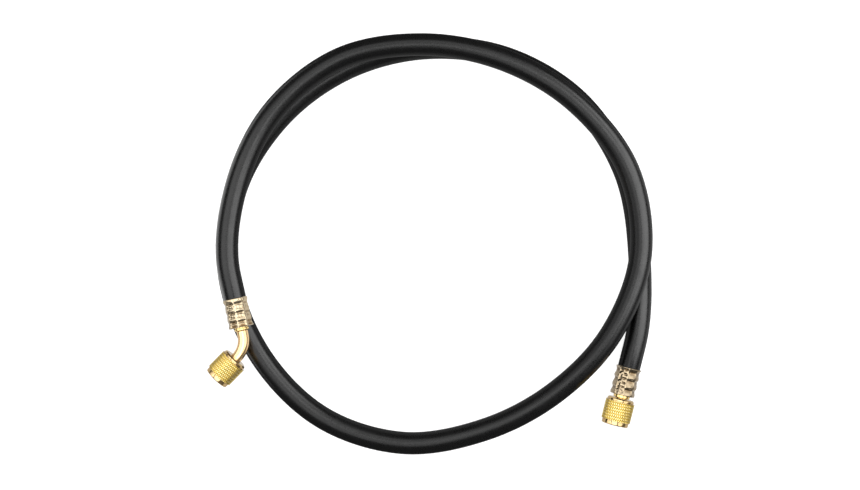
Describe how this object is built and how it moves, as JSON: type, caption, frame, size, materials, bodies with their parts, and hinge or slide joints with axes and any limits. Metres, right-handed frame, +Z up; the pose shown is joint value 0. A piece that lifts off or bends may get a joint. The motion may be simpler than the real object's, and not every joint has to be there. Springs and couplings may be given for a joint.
{
  "type": "refrigerant charging hose assembly",
  "caption": "Coiled black rubber charging hose with crimped ferrules, a knurled swivel nut on a bent brass tube and a knurled swivel nut on a straight stem.",
  "frame": {"origin": "middle of the bounding box, on the surface that the lower turn rests on", "axes": "+Z up out of the coil's plane, +X towards the side where the straight end lies, +Y away from both fittings"},
  "size_m": [0.2505, 0.2376, 0.0269],
  "materials": {
    "cover_rubber": "satin",
    "braid_textile": "matte",
    "tube_rubber": "matte",
    "barrier_nylon": "matte",
    "bent_ferrule_plating": "polished",
    "straight_ferrule_plating": "polished",
    "turned_brass": "polished",
    "tube_brass": "polished",
    "nut_brass": "polished",
    "gasket_rubber": "matte"
  },
  "bodies": {
    "hose": {"hose_cover": "cover_rubber", "hose_braid": "braid_textile", "hose_inner_tube": "tube_rubber", "hose_barrier": "barrier_nylon", "bent_end_ferrule": "bent_ferrule_plating", "bent_end_stem": "turned_brass", "bent_end_tube": "tube_brass", "bent_end_nose": "turned_brass", "bent_end_gasket": "gasket_rubber", "bent_end_depressor": "turned_brass", "straight_end_ferrule": "straight_ferrule_plating", "straight_end_stem": "turned_brass", "straight_end_gasket": "gasket_rubber"},
    "bent_nut": {"bent_end_nut": "nut_brass"},
    "straight_nut": {"straight_end_nut": "nut_brass"}
  },
  "joints": [
    {"name": "bent_nut_swivel", "type": "hinge", "parent": "hose", "child": "bent_nut", "pos_m": [-0.11486, -0.06924, 0.019], "axis": [-0.6997, -0.7145, 0], "continuous": true},
    {"name": "straight_nut_swivel", "type": "hinge", "parent": "hose", "child": "straight_nut", "pos_m": [0.10593, -0.0946, 0.0086], "axis": [-0.2462, -0.9692, 0], "continuous": true}
  ]
}
